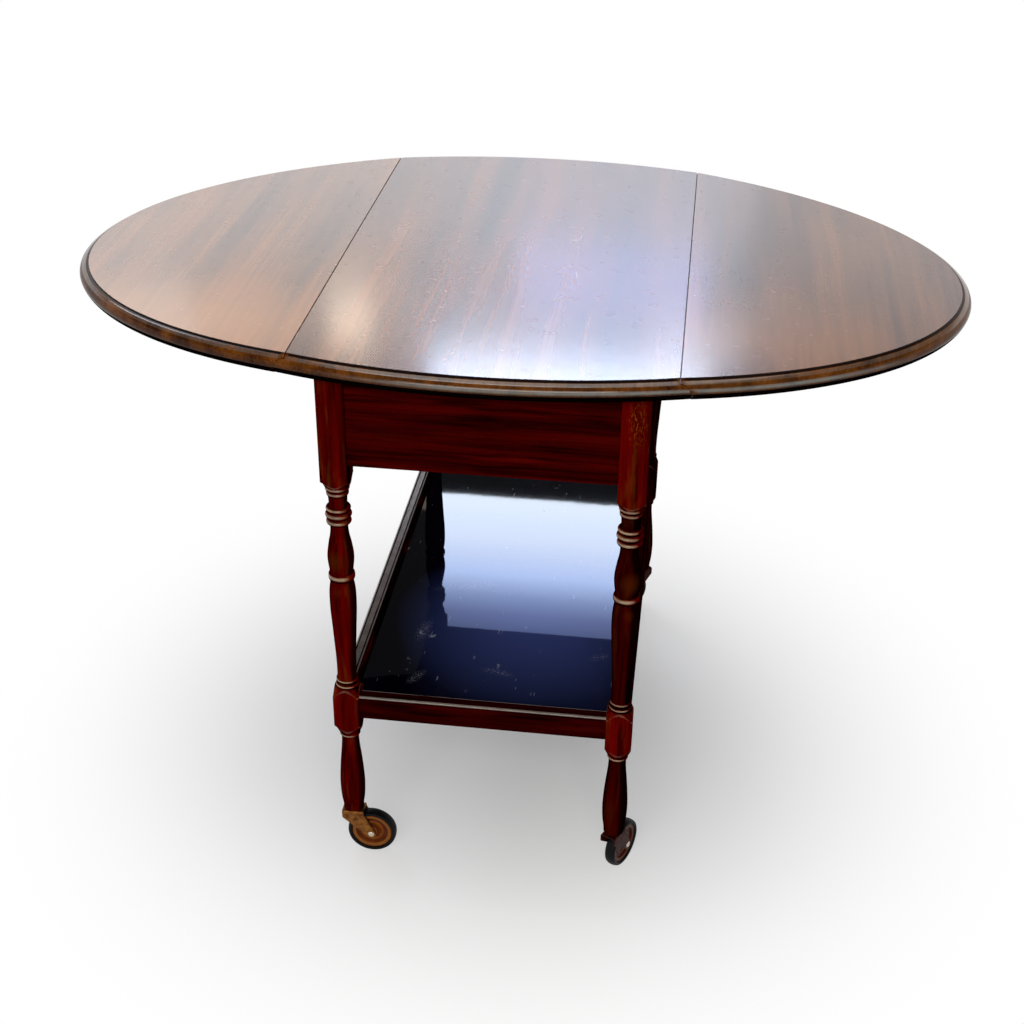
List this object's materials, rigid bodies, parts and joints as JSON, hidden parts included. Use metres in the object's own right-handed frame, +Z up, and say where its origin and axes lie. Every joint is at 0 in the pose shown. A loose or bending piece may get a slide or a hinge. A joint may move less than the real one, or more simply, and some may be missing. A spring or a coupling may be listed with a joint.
{
  "type": "drop leaf tea trolley",
  "caption": "Oval drop-leaf tea trolley: hinged leaves on swinging stays over four turned legs, a lower tray, and swivel casters.",
  "frame": {"origin": "on the floor under the middle of the trolley", "axes": "+X along the long axis of the open oval top, from one leaf to the other, +Y across it along the joint lines, +Z up"},
  "size_m": [1.104, 0.751, 0.719],
  "materials": {
    "mahogany_top": "french-polished mahogany with worn, scratched sheen",
    "mahogany_frame": "turned and planed mahogany, dark red stain under polish",
    "tray_board": "near-black polished mahogany board",
    "inner_wood": "plain sawn wood left unpolished",
    "hinge_steel": "pressed steel, dull",
    "screw_steel": "turned steel, dull",
    "caster_brass": "brassed steel, lacquered",
    "caster_disc": "brassed pressed disc, darkened lacquer",
    "caster_tyre": "black rubber"
  },
  "bodies": {
    "frame": {"centre_panel": "mahogany_top", "leg_front_left": "mahogany_frame", "leg_front_right": "mahogany_frame", "leg_back_left": "mahogany_frame", "leg_back_right": "mahogany_frame", "front_apron": "mahogany_frame", "back_apron": "mahogany_frame", "left_apron": "mahogany_frame", "right_apron": "mahogany_frame", "top_bearers": "inner_wood", "corner_blocks": "inner_wood", "top_screws": "screw_steel", "tray_panel": "tray_board", "tray_front_rail": "mahogany_frame", "tray_back_rail": "mahogany_frame", "tray_left_rail": "mahogany_frame", "tray_right_rail": "mahogany_frame", "tray_cleats": "inner_wood", "tray_beads": "mahogany_frame", "tray_screws": "screw_steel", "hinge_plates": "hinge_steel", "hinge_pins": "hinge_steel", "hinge_plate_screws": "screw_steel", "stay_brackets": "hinge_steel", "stay_bracket_screws": "screw_steel", "stay_pins": "hinge_steel", "caster_sockets": "caster_brass"},
    "left_leaf": {"left_leaf": "mahogany_top", "left_hinge_flaps": "hinge_steel", "left_flap_screws": "screw_steel", "left_stay_rest": "hinge_steel"},
    "right_leaf": {"right_leaf": "mahogany_top", "right_hinge_flaps": "hinge_steel", "right_flap_screws": "screw_steel", "right_stay_rest": "hinge_steel"},
    "left_stay": {"left_stay": "mahogany_frame"},
    "right_stay": {"right_stay": "mahogany_frame"},
    "front_left_caster": {"caster_front_left_fork": "caster_brass", "caster_front_left_stem": "caster_brass", "caster_front_left_axle": "caster_brass"},
    "front_left_wheel": {"caster_front_left_wheel": "caster_disc", "caster_front_left_tyre": "caster_tyre"},
    "front_right_caster": {"caster_front_right_fork": "caster_brass", "caster_front_right_stem": "caster_brass", "caster_front_right_axle": "caster_brass"},
    "front_right_wheel": {"caster_front_right_wheel": "caster_disc", "caster_front_right_tyre": "caster_tyre"},
    "back_left_caster": {"caster_back_left_fork": "caster_brass", "caster_back_left_stem": "caster_brass", "caster_back_left_axle": "caster_brass"},
    "back_left_wheel": {"caster_back_left_wheel": "caster_disc", "caster_back_left_tyre": "caster_tyre"},
    "back_right_caster": {"caster_back_right_fork": "caster_brass", "caster_back_right_stem": "caster_brass", "caster_back_right_axle": "caster_brass"},
    "back_right_wheel": {"caster_back_right_wheel": "caster_disc", "caster_back_right_tyre": "caster_tyre"}
  },
  "joints": [
    {"name": "right_leaf_hinge", "type": "hinge", "parent": "frame", "child": "right_leaf", "pos_m": [0.2115, 0, 0.7015], "axis": [0, 1, 0], "range_deg": [0, 87.75]},
    {"name": "left_leaf_hinge", "type": "hinge", "parent": "frame", "child": "left_leaf", "pos_m": [-0.2115, 0, 0.7015], "axis": [0, -1, 0], "range_deg": [0, 87.75]},
    {"name": "right_stay_pivot", "type": "hinge", "parent": "frame", "child": "right_stay", "pos_m": [0.194, 0, 0.601], "axis": [0, 1, 0], "range_deg": [0, 123.58]},
    {"name": "left_stay_pivot", "type": "hinge", "parent": "frame", "child": "left_stay", "pos_m": [-0.194, 0, 0.601], "axis": [0, -1, 0], "range_deg": [0, 123.58]},
    {"name": "front_left_swivel", "type": "hinge", "parent": "frame", "child": "front_left_caster", "pos_m": [-0.168, -0.3127, 0.09], "axis": [0, 0, 1], "continuous": true},
    {"name": "front_left_wheel_spin", "type": "hinge", "parent": "front_left_caster", "child": "front_left_wheel", "pos_m": [-0.145, -0.3127, 0.03175], "axis": [0, 1, 0], "continuous": true},
    {"name": "front_right_swivel", "type": "hinge", "parent": "frame", "child": "front_right_caster", "pos_m": [0.168, -0.3127, 0.09], "axis": [0, 0, 1], "continuous": true},
    {"name": "front_right_wheel_spin", "type": "hinge", "parent": "front_right_caster", "child": "front_right_wheel", "pos_m": [0.1779, -0.29194, 0.03175], "axis": [-0.9026, 0.4305, 0], "continuous": true},
    {"name": "back_left_swivel", "type": "hinge", "parent": "frame", "child": "back_left_caster", "pos_m": [-0.168, 0.3127, 0.09], "axis": [0, 0, 1], "continuous": true},
    {"name": "back_left_wheel_spin", "type": "hinge", "parent": "back_left_caster", "child": "back_left_wheel", "pos_m": [-0.18885, 0.32242, 0.03175], "axis": [-0.4226, -0.9063, 0], "continuous": true},
    {"name": "back_right_swivel", "type": "hinge", "parent": "frame", "child": "back_right_caster", "pos_m": [0.168, 0.3127, 0.09], "axis": [0, 0, 1], "continuous": true},
    {"name": "back_right_wheel_spin", "type": "hinge", "parent": "back_right_caster", "child": "back_right_wheel", "pos_m": [0.15174, 0.29644, 0.03175], "axis": [0.7071, -0.7071, 0], "continuous": true}
  ],
  "couplings": [
    {"joint": "right_stay_pivot", "follows": "right_leaf_hinge", "ratio": 1.4026},
    {"joint": "left_stay_pivot", "follows": "left_leaf_hinge", "ratio": 1.4026}
  ]
}
